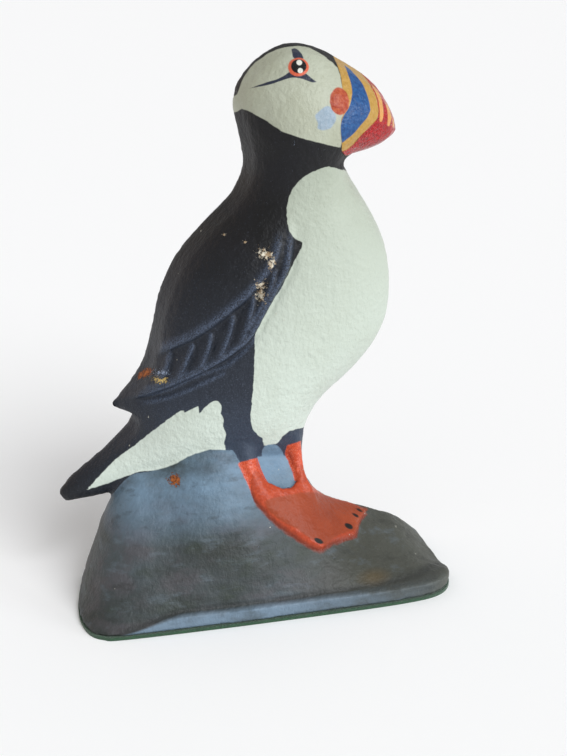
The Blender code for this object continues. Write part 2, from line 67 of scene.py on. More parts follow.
# The model's own sizes, in millimetres
BACK = 27.5               # y of the flat back
DEPTH = 55.0              # from the flat back to the front edge of the rock
FLOOR = 1.8               # underside of the iron
LIP_HEIGHT = 6.5
LIP_PROUD = 2.2
SIDE_LIP = 0.2            # the lip along the rock's ends, as a share of the one in front
LIP_FADE_START = 0.2      # share of the depth, from the front, at which it starts to shrink
LIP_FADE_RUN = 0.35       # share of the depth over which it shrinks
LIP_GROWS = (-74, -38)    # x between which it grows along the front
LEFT_FLANK_RUN = 29       # how far in from the left end the rock reaches its full height
ROUNDNESS = 1.7           # 1 makes the rock's sides straight, more makes them bulge
WING_LIFT = 3.2           # how far the wing stands out from the body
COVERT_STEP = 2.0
FEATHER_STEP = 1.3
LEG_RADIUS = 5.2
FOOT_THICKNESS = 5.0
FELT_THICKNESS = 1.5
FELT_PROUD = 0.15         # how far the felt stands out from the rock's footprint

# The rock's outline from above: x, and the share of the depth from the flat back
FOOTPRINT = (
    (-80.5, 0.0), (-82.8, 0.25), (-84, 0.5), (-83.2, 0.7), (-79.8, 0.87), (-74.4, 0.95),
    (-65.5, 0.985), (-20, 1.0), (30, 0.995), (59, 0.98), (75, 0.94), (83.3, 0.84),
    (86.6, 0.67), (86.4, 0.4), (84, 0.0),
)
# Along x: the rock's height at the back, the height its face rises to, and how far it runs
CREST = (
    (-85, 58), (-50, 58), (-40, 62), (-32, 68), (-24, 72), (-12, 72), (-4, 69), (4, 66.5),
    (9, 65.5), (13, 64), (17, 60.5), (20, 55), (22.5, 49), (25, 42.5), (28.5, 36), (34, 30.5),
    (42, 25.6), (53, 21.6), (61, 18), (71, 13.8), (77, 9.5), (82, 5), (86, 1.5),
)
FACE_CREST = (
    (-85, 58), (-50, 58), (-40, 62), (-32, 68), (-24, 72), (-12, 72), (-4, 69), (4, 65),
    (12, 59), (20, 51), (28.5, 42), (36, 34), (44, 28), (53, 22.3), (61, 18), (71, 13.8),
    (77, 9.5), (82, 5), (86, 1.5),
)
RISE_RUN = (
    (-85, 43), (-40, 41), (-28, 37), (-12, 38), (-2, 44), (5, 48), (20, 50), (32, 54),
    (87, 55),
)
FACE_HOLD = 6             # more keeps the face's own height further back

# Legs from the thigh down: x, y, height, and thickness as a share of LEG_RADIUS
LEFT_LEG = (
    (-7.4, 7.5, 72, 1.1), (-6.5, 4.7, 64, 1.0), (-4.6, 1.8, 58.3, 0.91),
    (-2.9, -0.3, 54.2, 0.88), (-1, -1.8, 50.6, 0.92), (1.6, -2.4, 46.6, 0.95), (5.6, 0, 41, 0.9),
)
RIGHT_LEG = (
    (15.6, 13.5, 73, 0.95), (16.9, 14.8, 65, 0.84), (18.2, 13.8, 59.3, 0.68),
    (19, 10.3, 53.8, 0.52), (20, 7.6, 49, 0.58), (21.2, 6.2, 45.4, 0.72), (23.5, 6, 38, 0.8),
)
# The webbed foot from above; "c" marks a corner
FOOT = (
    (-5.2, -4.6), (-3.8, -6.4), (1.5, -8), (7.7, -9.6), (13.5, -11.1), (18.8, -12.3),
    (24.4, -12.6, "c"), (31.2, -7.4), (44.3, 0.6, "c"), (48.8, 10.7), (55, 19.5, "c"),
    (48, 23.5), (37, 22), (29, 17.5), (22.5, 11), (17.5, 5), (14.4, 1.4), (9.4, -0.5),
    (5, -0.8), (0, -1), (-4, -2.6),
)
# Lines of the wing, x and height
WING_EDGE = (
    (13, 175), (13.6, 165), (12.3, 158), (10.5, 152), (7, 146), (1, 135), (-5, 125),
    (-14.5, 117), (-28, 108.5), (-46, 98), (-64, 88),
)
COVERT_EDGE = (
    (9.5, 167), (7.5, 160.5), (4, 154), (-4.5, 144), (-11, 138.5), (-19.5, 131.5),
    (-27.5, 125.5), (-36, 120), (-43, 115),
)
FEATHER_LINES = (
    ((6, 153), (3.5, 146), (0, 139), (-6, 129)),
    ((-2.5, 144), (-5, 135), (-9, 123.5)),
    ((-11.5, 134.5), (-14, 126), (-19, 115)),
    ((-20.5, 127), (-22.5, 120), (-26.5, 111.5)),
    ((-28, 122), (-31, 115), (-35, 107.5)),
    ((-37, 118), (-39, 111), (-43, 103)),
)
LONG_FEATHER_LINE = ((-17, 114.5), (-27.5, 111), (-40, 104), (-54, 96))

# Grooves between the wing's longest feathers and inside its rim
WING_GROOVES = (
    ((8.5, 149), (3.8, 140.5), (-1, 131.5), (-6.5, 122), (-15.5, 114), (-28.5, 108.5),
     (-40.5, 101), (-53, 97)),
    ((-17, 110.5), (-27, 105), (-37, 99.5), (-50, 94)),
)

# Painted areas, in the photograph's pixels; "c" marks a corner
FACE = (
    (228, 114, "c"), (228, 97, "c"), (236, 95), (240, 86), (245.5, 74.6), (253.4, 64.4),
    (263.4, 56.8), (274.8, 50.4), (286.3, 47), (299, 46), (309.3, 47.9), (319.5, 53),
    (328.4, 59.3), (337.6, 67.5, "c"), (340, 75), (342, 86), (343.8, 100), (343.8, 113),
    (341.4, 120), (340.8, 131), (341.6, 142), (340.6, 147.6, "c"), (331, 145.4), (317, 142.2),
    (296.5, 136.5), (283.8, 132), (276.1, 127.6), (264.6, 119.9), (255.7, 114.8),
    (247.4, 110.6), (241, 109), (237.2, 111.6),
)
BEAK = (
    (331.5, 52, "c"), (335, 60), (338, 67), (340.5, 75), (342.3, 86), (344, 100), (344, 112),
    (341.6, 120), (341, 131), (341.8, 141), (341.6, 150, "c"), (345, 155.5, "c"),
    (412, 152, "c"), (415, 60, "c"), (345, 40, "c"),
)
BEAK_BLUE = (
    (344.2, 65.4, "c"), (350.1, 69.5), (357.1, 77.2), (362.9, 84.8), (366.7, 93.8),
    (369, 101.4), (370.5, 110, "c"), (366.7, 118), (360.3, 125.7), (352.7, 134.6),
    (347.6, 138.4), (342.1, 143, "c"), (341.2, 135.9), (340.8, 128.2), (341.8, 120.6),
    (345, 113.5), (348.8, 107.8), (351.1, 100.2), (352.1, 92.5), (351.4, 84.8),
    (349.1, 77.2), (346.3, 69.5),
)
BEAK_RED = (
    (360.8, 72.6, "c"), (368, 81), (372.4, 88.7), (376.3, 97.6), (378.2, 106.5),
    (378.6, 113), (376.8, 119.3), (371.8, 124.8), (361.6, 135), (352.7, 145), (346.3, 150),
    (341.6, 151.5, "c"), (345, 155.5, "c"), (412, 152, "c"), (416, 100, "c"), (380, 60, "c"),
)
BEAK_STRIPES = (
    ((369.5, 80.5, 0.3), (375, 88.7, 1.2), (379.2, 97.6, 1.7), (381.2, 106.5, 1.9),
     (381.7, 114.2, 1.9), (380.8, 120.5, 1.3)),
    ((376, 83.5, 0.3), (382.4, 93.5, 0.8), (386.4, 102, 1.3), (388.6, 109.5, 1.7),
     (389.6, 117, 1.8), (388.4, 125, 1.2)),
    ((385.8, 98.5, 0.3), (390.6, 107.2, 0.9), (393.4, 115.5, 1.4), (393.9, 126.5, 1.3)),
)
BROW = (
    (291.4, 49.3, "c"), (294.6, 48.2), (298.4, 50.2), (301.6, 53.6), (303.5, 58.2, "c"),
    (299.7, 59.8), (296.5, 59.8), (293, 57), (292.3, 53.6),
)
EYE_STREAK = (
    (248.5, 88.6, "c"), (266, 82.6), (276, 79.6), (284, 75.8), (290, 72), (293.3, 74),
    (299.1, 75), (305, 73.6), (308, 75.3), (312, 78.8), (317, 82, "c"), (313, 82.6), (309, 81.4),
    (303, 79.2), (297, 77.8), (290, 78), (280, 81.2), (268, 85),
)
CHEEK_SPOT = (
    (315, 115.2, "c"), (322, 109), (329.7, 106), (336.2, 116.7), (333.5, 124.8),
    (328.4, 129.3), (322, 130.2), (317, 128.4, "c"), (317.8, 123.3), (315.7, 119.3),
)
BREAST = (
    (350, 172, "c"), (343, 170), (330, 167), (316, 170), (301, 179), (292, 190), (288, 202),
    (287, 216), (289, 229), (294, 238), (303.4, 242, "c"), (301, 249), (295, 261), (291, 270),
    (281, 290), (270, 307), (261, 325), (257.5, 331), (255, 340), (255, 353), (254, 372),
    (253, 387), (252, 401), (250.5, 420), (254, 431), (262, 438, "c"), (264, 446, "c"),
    (277, 443), (284, 435), (293, 430), (305, 427), (316, 424, "c"), (420, 380, "c"),
    (420, 200, "c"), (365, 165, "c"),
)
UNDER_TAIL = (
    (86, 490.3, "c"), (112, 463), (136, 444), (158, 427), (181, 410.5), (184, 413, "c"),
    (198.3, 406, "c"), (199.4, 413.5, "c"), (209, 404), (217, 401), (221.5, 406),
    (220.6, 413.5, "c"), (223.4, 419), (222.8, 426, "c"), (225.6, 434), (224.2, 444, "c"),
    (226, 452), (225, 460, "c"), (207, 460), (183, 467), (164, 470.5), (150, 471),
    (139, 472), (119.7, 478.6), (104, 484.5),
)
FOOT_TOP = (
    (265, 500, "c"), (278, 497), (290, 495), (303, 492.5), (318, 493), (335, 499), (352, 504),
    (368, 509, "c"), (361, 518), (357, 530, "c"), (339, 535), (325.5, 544.5, "c"), (313, 540),
    (297, 529), (279, 519.5), (268, 509.5),
)
# Ellipses: centre, half width and half height, turn in degrees
EYE_RING = (298.3, 67.0, 10.4, 9.2, 0)
EYE_BLACK = (298.4, 66.2, 7.7, 7.0, 0)
EYE_GLINTS = ((298.9, 62.4, 2.8, 2.7, 0), (299.9, 70.5, 2.6, 2.6, 0))
ROSETTE = (339.3, 101.4, 9.6, 13.6, -6)
TOE_MARKS = (
    (318.7, 541.0, 4.8, 2.3, 26), (348.9, 526.2, 4.6, 2.3, 28), (355.4, 515.0, 4.0, 1.2, 28),
    (359.2, 510.0, 3.8, 1.1, 26),
)
# Wear, and a few painted glints, in ellipses too
BARE_CHIPS = (
    (266, 254.5, 12, 9, 25), (271.5, 264, 6, 9, 10), (260.5, 284.5, 8, 8, 0),
    (261, 296, 7.5, 9, 0), (224, 235, 3, 2, 0), (245, 242, 3, 2.4, 0),
)
RUST = ((143.5, 373.5, 14, 6, -20), (174.4, 480, 9, 9, 0))
STAIN = (374, 577, 17, 9, -8)
# Pale specks of worn paint; the two on the neck, at (275, 138) and (294, 144), are painted glints.
PALE_SPECKS_AND_GLINTS = (
    (162, 372.5, 11, 5, 8), (275, 138, 1.6, 1.4, 0), (294, 144, 2.2, 2.2, 0),
    (172, 507, 1.5, 1.2, 0), (260, 530, 2.2, 1.6, 0), (259, 547, 1.6, 1.4, 0),
    (334, 558, 1.8, 1.3, 0), (343, 532.5, 2.2, 1.2, -20), (275.7, 425.4, 1.6, 1.6, 0),
)
YELLOW_SPECKS = ((160.5, 380, 13, 4.4, 6),)
# The rock's colour shows between the legs
BETWEEN_LEGS = (
    (262.5, 462), (262, 452), (264.5, 446.5), (270, 444.5), (277, 445.5), (282, 451), (286, 462),
    (291, 476), (296, 486), (294, 492), (286, 494), (276, 491), (268, 480),
)
# The thighs are dark above these lines
LEFT_CUFF = ((237.6, 463), (257, 458))
RIGHT_CUFF = ((281.7, 447), (301.8, 440.7))

# Mesh of the casting, in millimetres
FINE = 1.1                # spacing of the fine skin's vertices
MERGE = 0.00001           # metres
SMOOTH_STEP = 2.0         # spacing of points along a smoothed line
SOFTEN_ROUNDS = 19
INSIDE_KEPT = 0.08        # share of the plain inside's faces that stay
OFF_SKIN = 0.3            # how far off the skin a ray starts
ROCK_NEAR = 1.0           # what lies this close above the rock's own height is rock
CARVED_BLUR = 2.3         # how soft the softened carving is
GROOVE_SHARE = 0.24       # depth of the groove at the foot of a feather's edge, of its step
LIP_SHARE = 0.25          # height of the raised lip on a feather's edge, of its step
GROOVE_DEPTH = 0.45       # of the grooves between the longest feathers
GROOVE_WIDTH = 0.9
WING_EDGE_WIDTH = 2.4
COVERT_EDGE_WIDTH = 2.6
FEATHER_EDGE_WIDTH = 1.4
WING_SHARE = 0.75         # of the wing's lift that its clearer edge adds again
SHOULDER_FADE = (150, 26)   # height from which the feathers' relief fades out, and its run
EDGE_HIGHLIGHT_FADE = (160, 12)     # the same for the painted highlight on their edges
WING_TIP_FADE = (-58, 14)   # x from which the wing's own edge carries the painted highlight, and the run to it
INNER_FADE = (2.0, 2.0)     # how far behind the wing's edge the feathers start, and their run
EYE_DOME = 0.7
CHEEK_DOME = 0.6
GRAIN = 0.10              # unevenness of the cast skin
HAMMERED = 0.45           # unevenness of the rock
LUMPS_GROW = 6            # height over which the rock's unevenness grows from its underside
CREASE_DEPTH = 0.55       # of the dark line above the rock's lip
CREASE_SWELL = 0.3        # how far the lip swells below it
CREASE_FROM = 0.3         # size of lip from which there is a crease
SMOOTH_SKIN = 0.4         # this close to the flat back and underside there is no grain

# How freely the skin may be evened out, along x, y and z or altogether: 1 is fully
FREE_BIRD = (0.25, 1.0, 0.25)
FREE_ROCK = (0.6, 0.8, 0.9)
FREE_LIP = 0.12
FREE_LEGS = 0.5           # times what holds around them
FREE_FOOT = 0.4
AROUND_ROCK = 1           # how far past the rock, legs, foot and lip their freedom reaches
AROUND_LEG = 1.5
AROUND_FOOT = 2
AROUND_LIP = (3, 4)       # inwards, and up or down
STAYS_FLAT = 0.6          # vertices this close to the flat back and underside stay in them

# Where the mesh is made finer
WING_X = (-58, 17)
WING_Z = (88, 172)
WING_BACK = 12            # y
WING_FRONT_RISE = 1.15    # the wing's front edge: height gained for each millimetre of x
HEAD_DETAIL_Z = 190
BEAK_FROM_PX = 316
EYE_FROM_PX = 246
EYE_ROWS_PX = (44, 96)

# Where paint may lie, in millimetres
HEAD_Z = 185
BODY_Z = 45
THIGHS_TO_Z = 95
FOOT_TO_Z = 60
RUST_FROM_Z = 70
RIM = 0.5                 # what is this close to the flat back isn't carved
BARE_RIM = 0.45           # and what is this close to it isn't painted
LIP_PAINT_FROM = 0.25     # size of lip from which it has its own pale paint and painted highlight
LIP_PAINT_DROP = 2.5      # how much lower that paint and highlight end as the lip gets small
LEG_PAINT = 0.9           # how far past a leg's own surface its paint reaches
FOOT_PAINT = 0.7
PAST_SIDE = 17            # y from which the beak's stripes fade out, round the unseen side
STRIPE_FADE = 0.3         # for each millimetre past it
PAST_RUST = 19            # y from which rust and specks fade out
RUST_FADE = 0.12
FAR_OUTSIDE = -8.0        # distances outside a painted area stop here
NOT_HERE = -50            # added to a distance where an area can't be
UNPAINTED = -5            # the distance kept on the casting's inside


def smooth_closed(points, step):
    """Points about a step apart along a closed curve through the given ones, sharp at corners."""
    count = len(points)
    place = [np.array(p[:2], float) for p in points]
    corner = [len(p) > 2 for p in points]
    path = []
    for i in range(count):
        a, b = place[i], place[(i + 1) % count]
        before = a if corner[i] else place[i - 1]
        after = b if corner[(i + 1) % count] else place[(i + 2) % count]
        pieces = max(1, round(np.linalg.norm(b - a) / step))
        for t in np.arange(pieces) / pieces:
            path.append(catmull_rom(before, a, b, after, t))
    return np.array(path)


def smooth_open(points, step):
    """Points about a step apart along an open curve through the given ones."""
    place = [np.array(p, float) for p in points]
    path = []
    for i in range(len(place) - 1):
        before, after = place[max(0, i - 1)], place[min(len(place) - 1, i + 2)]
        pieces = max(1, round(np.linalg.norm(place[i + 1] - place[i]) / step))
        for t in np.arange(pieces) / pieces:
            path.append(catmull_rom(before, place[i], place[i + 1], after, t))
    return np.array(path + [place[-1]])


def catmull_rom(before, a, b, after, t):
    """Point at t along the span from a to b of a curve through all four."""
    return 0.5 * (2 * a + (b - before) * t + (2 * before - 5 * a + 4 * b - after) * t**2
                  + (3 * a - before - 3 * b + after) * t**3)


def smooth_step(x):
    """0 below 0, 1 above 1, with a soft start and end."""
    t = np.clip(x, 0, 1)
    return t * t * (3 - 2 * t)


def rises(x, start, run):
    """0 below a start, 1 past the run after it, with a soft start and end."""
    return smooth_step((x - start) / run)


def bell(x, middle, width):
    """1 at a middle, falling softly to 0 on both sides."""
    return np.exp(-((x - middle) / width)**2)


def along(profile, x):
    """Value at x of a smooth profile through (x, value) pairs."""
    table = np.array(profile, float)
    slopes = np.gradient(table[:, 1], table[:, 0])
    place = np.clip(np.searchsorted(table[:, 0], x) - 1, 0, len(table) - 2)
    x0, x1 = table[place, 0], table[place + 1, 0]
    t = np.clip((x - x0) / (x1 - x0), 0, 1)
    ends = (2 * t**3 - 3 * t**2 + 1) * table[place, 1] + (3 * t**2 - 2 * t**3) * table[place + 1, 1]
    tilt = (t**3 - 2 * t**2 + t) * slopes[place] + (t**3 - t**2) * slopes[place + 1]
    return ends + (x1 - x0) * tilt


def path_distance(points, path, widths=None):
    """Distance of points to a polyline, less its half width there, and which side they are on."""
    best = np.full(len(points), np.inf)
    side = np.zeros(len(points))
    for i, (a, b) in enumerate(zip(path[:-1], path[1:])):
        share = np.clip(((points - a) @ (b - a)) / ((b - a) @ (b - a)), 0, 1)
        apart = np.linalg.norm(points - a - share[:, None] * (b - a), axis=1)
        if widths is not None:
            apart = apart - (widths[i] + share * (widths[i + 1] - widths[i]))
        nearer = apart < best
        best[nearer] = apart[nearer]
        if points.shape[1] == 2:
            turn = (b - a)[0] * (points - a)[:, 1] - (b - a)[1] * (points - a)[:, 0]
            side[nearer] = np.sign(turn)[nearer]
    return best, side


def in_area(points, area, step=SMOOTH_STEP):
    """How far inside a closed curve points are; below 0 they are outside, to FAR_OUTSIDE."""
    outline = smooth_closed(area, step)
    low, high = outline.min(axis=0) + FAR_OUTSIDE, outline.max(axis=0) - FAR_OUTSIDE
    near = np.all((points > low) & (points < high), axis=1)
    result = np.full(len(points), FAR_OUTSIDE)
    result[near] = inside_outline(points[near], outline)
    return result


def inside_outline(points, outline):
    """How far inside a polygon points are; below 0 they are outside."""
    apart, _ = path_distance(points, np.vstack([outline, outline[:1]]))
    within = np.zeros(len(points), bool)
    x, y = points[:, 0], points[:, 1]
    for (ax, ay), (bx, by) in zip(outline, np.roll(outline, -1, axis=0)):
        if ay != by:
            within ^= ((ay > y) != (by > y)) & (x < (bx - ax) * (y - ay) / (by - ay) + ax)
    return np.where(within, apart, -apart)


def in_ellipse(points, ellipse):
    """How far inside an ellipse points are."""
    x, y, wide, high, turn = ellipse
    c, s = math.cos(math.radians(turn)), math.sin(math.radians(turn))
    dx, dy = points[:, 0] - x, points[:, 1] - y
    reach = np.hypot((c * dx + s * dy) / wide, (c * dy - s * dx) / high)
    return (1 - reach) * min(wide, high)


def in_ellipses(points, ellipses):
    """How far inside the nearest of several ellipses points are."""
    return np.max([in_ellipse(points, ellipse) for ellipse in ellipses], axis=0)


def in_stripe(points, stripe):
    """How far inside a tapering brush stroke points are."""
    route = smooth_open(stripe, SMOOTH_STEP)
    apart, _ = path_distance(points, route[:, :2], route[:, 2])
    return -apart


def below_line(points, line):
    """How far below a line between two pixels other pixels are."""
    (ax, ay), (bx, by) = line
    return points[:, 1] - ay - (points[:, 0] - ax) * (by - ay) / (bx - ax)


def in_spots(points, spots):
    """1 in the middle of a spot, 0 at its edge and down to -1 outside, whichever is most."""
    inside = [in_ellipse(points, spot) / min(spot[2], spot[3]) for spot in spots]
    return np.clip(np.max(inside, axis=0), -1, 1)


def camera_axes():
    """Place of the camera and its right, up and forward directions."""
    turn, rise = math.radians(CAMERA_TURN), math.radians(CAMERA_RISE)
    back = Vector((math.sin(turn) * math.cos(rise), -math.cos(turn) * math.cos(rise), math.sin(rise)))
    right = (-back).cross(Vector((0, 0, 1))).normalized()
    return CAMERA_TARGET + back * CAMERA_DISTANCE, right, right.cross(-back), -back


def add_camera():
    """The photograph's camera."""
    place, right, up, ahead = camera_axes()
    lens = bpy.data.cameras.new("camera")
    lens.lens = LENS
    lens.sensor_width = SENSOR
    camera = bpy.data.objects.new("camera", lens)
    camera.matrix_world = Matrix.Translation(place) @ Matrix((right, up, -ahead)).transposed().to_4x4()
    bpy.context.scene.collection.objects.link(camera)
    bpy.context.scene.camera = camera


def in_picture(place):
    """Pixels of the photograph at which points in millimetres are seen."""
    eye, right, up, ahead = (np.array(v) for v in camera_axes())
    seen = place * MM - eye
    deep = seen @ ahead
    scale = LENS / SENSOR * PICTURE[1]
    return np.column_stack([
        PICTURE[0] / 2 + scale * (seen @ right) / deep,
        PICTURE[1] / 2 - scale * (seen @ up) / deep,
    ])


def lip_size(x, y):
    """Size of the rock's lip: full along the front, small along the ends and at the left."""
    by_front = 1 - rises((y + BACK) / DEPTH, LIP_FADE_START, LIP_FADE_RUN)
    start, end = LIP_GROWS
    return SIDE_LIP + (1 - SIDE_LIP) * by_front * rises(x, start, end - start)


def rock_height(x, y):
    """Height of the rock's surface over plan points, all in millimetres."""
    edge = smooth_open([(px, BACK - share * DEPTH) for px, share in FOOTPRINT], 2 * SMOOTH_STEP)
    corner = np.argmin(edge[:, 1])
    left, front = edge[:corner + 1], edge[np.argmin(edge[:, 0]):np.argmax(edge[:, 0]) + 1]
    front_run = y - np.interp(x, front[:, 0], front[:, 1])
    left_run = x - np.interp(-y, -left[:, 1], left[:, 0])
    size = lip_size(x, y)
    lip = LIP_HEIGHT * size
    proud = LIP_PROUD * size
    up_face = 1 - (1 - np.clip((front_run - proud) / along(RISE_RUN, x), 0, 1))**ROUNDNESS
    up_flank = 1 - (1 - np.clip((left_run - proud) / LEFT_FLANK_RUN, 0, 1))**ROUNDNESS
    face = along(FACE_CREST, x)
    aim = face + (along(CREST, x) - face) * up_face**FACE_HOLD
    return FLOOR + lip + np.maximum(0, aim - lip) * up_face * up_flank


def leg_depth(place, route):
    """How far inside a leg points are, in millimetres."""
    line = smooth_open(route, SMOOTH_STEP)
    apart, _ = path_distance(place, line[:, :3], line[:, 3] * LEG_RADIUS)
    return -apart


def soften(place, edges, weight, rounds):
    """Even out vertices towards their neighbours, then give back what the broad forms lost."""
    a, b = edges.T
    count = len(place)
    shared = np.bincount(a, minlength=count) + np.bincount(b, minlength=count)

    def even_out(values):
        """Values after the rounds of moving towards their neighbours' mean."""
        for _ in range(rounds):
            mean = np.column_stack([
                np.bincount(a, values[b, k], count) + np.bincount(b, values[a, k], count)
                for k in range(3)
            ]) / shared[:, None]
            values = values + 0.5 * weight * (mean - values)
        return values

    smooth = even_out(place)
    return smooth + even_out(place - smooth)


def vertex_places(mesh):
    """Vertices of a mesh, in millimetres."""
    flat = np.empty(len(mesh.vertices) * 3)
    mesh.vertices.foreach_get("co", flat)
    return flat.reshape(-1, 3) / MM


def vertex_normals(mesh):
    """Directions the vertices face."""
    flat = np.empty(len(mesh.vertices) * 3)
    mesh.vertex_normals.foreach_get("vector", flat)
    return flat.reshape(-1, 3)


def vertex_edges(mesh):
    """Numbers of the two vertices of each edge."""
    flat = np.empty(len(mesh.edges) * 2, int)
    mesh.edges.foreach_get("vertices", flat)
    return flat.reshape(-1, 2)


def move_vertices(mesh, place):
    """Put a mesh's vertices at places in millimetres."""
    mesh.vertices.foreach_set("co", (place * MM).ravel())
    mesh.update()


def keep_value(mesh, name, values):
    """Store one number for each vertex under a name that the paint reads."""
    mesh.attributes.new(name, "FLOAT", "POINT").data.foreach_set("value", values.astype(np.float32))


def slow_noise(place, scale, seed):
    """Smooth unevenness between about -1 and 1; scale is the size of its lumps."""
    shift = Vector((seed * 17.3, seed * 5.1, seed * 9.7))
    return np.array([noise.noise(Vector(p) / scale + shift) for p in place])


def new_piece(name, bm):
    """An object made of a finished bmesh."""
    mesh = bpy.data.meshes.new(name)
    bm.to_mesh(mesh)
    bm.free()
    piece = bpy.data.objects.new(name, mesh)
    bpy.context.scene.collection.objects.link(piece)
    return piece


def fine_skin(node, name):
    """A copy of a CAD node with an even, fine mesh."""
    bm = bmesh.new()
    bm.from_mesh(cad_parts[node].data)
    bmesh.ops.remove_doubles(bm, verts=bm.verts, dist=MERGE)
    rough = new_piece(name, bm)
    even = rough.modifiers.new("even mesh", "REMESH")
    even.mode = "VOXEL"
    even.voxel_size = FINE * MM
    settle_modifiers(rough)
    return rough


def settle_modifiers(piece):
    """Turn what the piece's modifiers show into its mesh."""
    built = piece.evaluated_get(bpy.context.evaluated_depsgraph_get())
    mesh = bpy.data.meshes.new_from_object(built)
    old = piece.data
    piece.modifiers.clear()
    piece.vertex_groups.clear()
    piece.data = mesh
    bpy.data.meshes.remove(old)
    mesh.name = piece.name


def thin_inside(piece):
    """Give the plain inside of the casting larger faces."""
    mesh = piece.data
    inner = hidden_inside(mesh, vertex_places(mesh), vertex_normals(mesh))
    group = piece.vertex_groups.new(name="inside")
    group.add(np.flatnonzero(inner).tolist(), 1.0, "REPLACE")
    thinner = piece.modifiers.new("larger faces inside", "DECIMATE")
    thinner.vertex_group = "inside"
    thinner.ratio = 1 - (1 - INSIDE_KEPT) * float(inner.mean())
    settle_modifiers(piece)


def refine(mesh, chosen):
    """Halve the mesh where chosen(places, normals) is true."""
    bm = bmesh.new()
    bm.from_mesh(mesh)
    picked = chosen(vertex_places(mesh), vertex_normals(mesh))
    bm.verts.ensure_lookup_table()
    edges = [e for e in bm.edges if picked[e.verts[0].index] and picked[e.verts[1].index]]
    bmesh.ops.subdivide_edges(bm, edges=edges, cuts=1, use_grid_fill=True)
    bmesh.ops.triangulate(bm, faces=[f for f in bm.faces if len(f.verts) > 4])
    bm.to_mesh(mesh)
    bm.free()


def above_rock(place):
    """How far above the rock's own height points are."""
    return place[:, 2] - rock_height(place[:, 0], place[:, 1])


def softening(place):
    """How freely each vertex may be evened out along x, y and z."""
    free = np.tile(FREE_BIRD, (len(place), 1))
    high = above_rock(place)
    near_rock = high < ROCK_NEAR + AROUND_ROCK
    free[near_rock] = FREE_ROCK
    inwards, upwards = AROUND_LIP
    by_lip = np.abs(place[:, 2] - FLOOR - LIP_HEIGHT) < upwards
    free[by_lip & (place[:, 1] < LIP_PROUD + inwards - BACK)] = FREE_LIP
    legs = np.maximum(leg_depth(place, LEFT_LEG), leg_depth(place, RIGHT_LEG)) > -AROUND_LEG
    free[legs] *= FREE_LEGS
    by_foot = (high > 0.4) & (high < FOOT_THICKNESS + AROUND_FOOT)
    free[(in_area(place[:, :2], FOOT) > -AROUND_FOOT) & by_foot] *= FREE_FOOT
    free[place[:, 1] > BACK - STAYS_FLAT, 1] = 0
    free[place[:, 2] < FLOOR + STAYS_FLAT, 2] = 0
    return free


def sharpen(places, line, rise, edge):
    """What makes a softened step along a line clearer, how far above it places are, and its lip."""
    apart, side = path_distance(places, smooth_open(line, SMOOTH_STEP))
    over = -apart * side
    clear = smooth_step(over / edge + 0.5)
    blurred = 0.5 * (1 + np.tanh(0.9 * over / CARVED_BLUR))
    groove = -GROOVE_SHARE * rise * bell(over, -0.8 * edge, 0.6 * edge)
    lip = bell(over, 0.7 * edge, 0.6 * edge)
    return rise * (clear - blurred) + groove + LIP_SHARE * rise * lip, over, lip


def carve_wing(place, normal):
    """Depth that clearer feather edges add towards the viewer, and where their lips get a painted
    highlight.
    """
    front = place[:, [0, 2]]
    shoulder = 1 - rises(front[:, 1], *SHOULDER_FADE)
    wing, behind_edge, wing_lip = sharpen(front, WING_EDGE, WING_SHARE * WING_LIFT, WING_EDGE_WIDTH)
    coverts, over_covert, covert_lip = sharpen(front, COVERT_EDGE, COVERT_STEP, COVERT_EDGE_WIDTH)
    covert_reach = stretch_fade(front, COVERT_EDGE)
    below = rises(-over_covert, 0, 1.5)
    inner = rises(behind_edge, *INNER_FADE)
    depth = shoulder * (wing + coverts * covert_reach)
    lips = np.maximum(wing_lip * rises(front[:, 0], *WING_TIP_FADE), covert_lip * covert_reach)
    for line in FEATHER_LINES + (LONG_FEATHER_LINE,):
        step, _, lip = sharpen(front, line, FEATHER_STEP, FEATHER_EDGE_WIDTH)
        reach = stretch_fade(front, line) * below * inner
        depth += shoulder * step * reach
        lips = np.maximum(lips, lip * reach)
    for line in WING_GROOVES:
        apart, side = path_distance(front, smooth_open(line, SMOOTH_STEP))
        reach = stretch_fade(front, line)
        depth -= GROOVE_DEPTH * bell(apart, 0, GROOVE_WIDTH) * reach
        lips = np.maximum(lips, 0.8 * bell(apart * side, 1.5, 0.8) * reach)
    facing = rises(-normal[:, 1], 0.15, 0.3)
    return depth * facing, lips * facing * (1 - rises(front[:, 1], *EDGE_HIGHLIGHT_FADE))


def stretch_fade(places, line):
    """1 along a line, fading out past its two ends."""
    first, last = np.array(line[0], float), np.array(line[-1], float)
    share = (places - first) @ (last - first) / ((last - first) @ (last - first))
    return smooth_step(share / 0.12 + 0.6) * smooth_step((1 - share) / 0.12 + 0.6)


def hidden_inside(mesh, place, normal):
    """True on the walls of the hollows: iron stands in front of them and all round them."""
    tree = BVHTree.FromPolygons([v.co for v in mesh.vertices], [p.vertices for p in mesh.polygons])
    directions = [Vector(d) for d in ((0, -1, 0), (1, 0, 0), (-1, 0, 0), (0, 0, 1), (0, 0, -1))]
    result = np.zeros(len(place), bool)
    starts = (place + normal * OFF_SKIN) * MM
    for i in np.flatnonzero(normal[:, 1] > -0.2):
        result[i] = all(tree.ray_cast(Vector(starts[i]), d)[0] is not None for d in directions)
    return result


def near_wing(place, normal):
    """The wing's feather edges and a little round them."""
    x, height = place[:, 0], place[:, 2]
    near = (x > WING_X[0]) & (x < WING_X[1]) & (height > WING_Z[0]) & (height < WING_Z[1])
    left_of_breast = height > WING_Z[0] + WING_FRONT_RISE * (x + 8)
    return near & left_of_breast & (normal[:, 1] < -0.2) & (place[:, 1] < WING_BACK)


def near_beak_and_eye(place, normal):
    """The beak and the painted lines beside the eye."""
    across, down = in_picture(place).T
    by_eye = (across > EYE_FROM_PX) & (down < EYE_ROWS_PX[1]) & (down > EYE_ROWS_PX[0])
    return (normal[:, 1] < 0.1) & (place[:, 2] > HEAD_DETAIL_Z) & ((across > BEAK_FROM_PX) | by_eye)


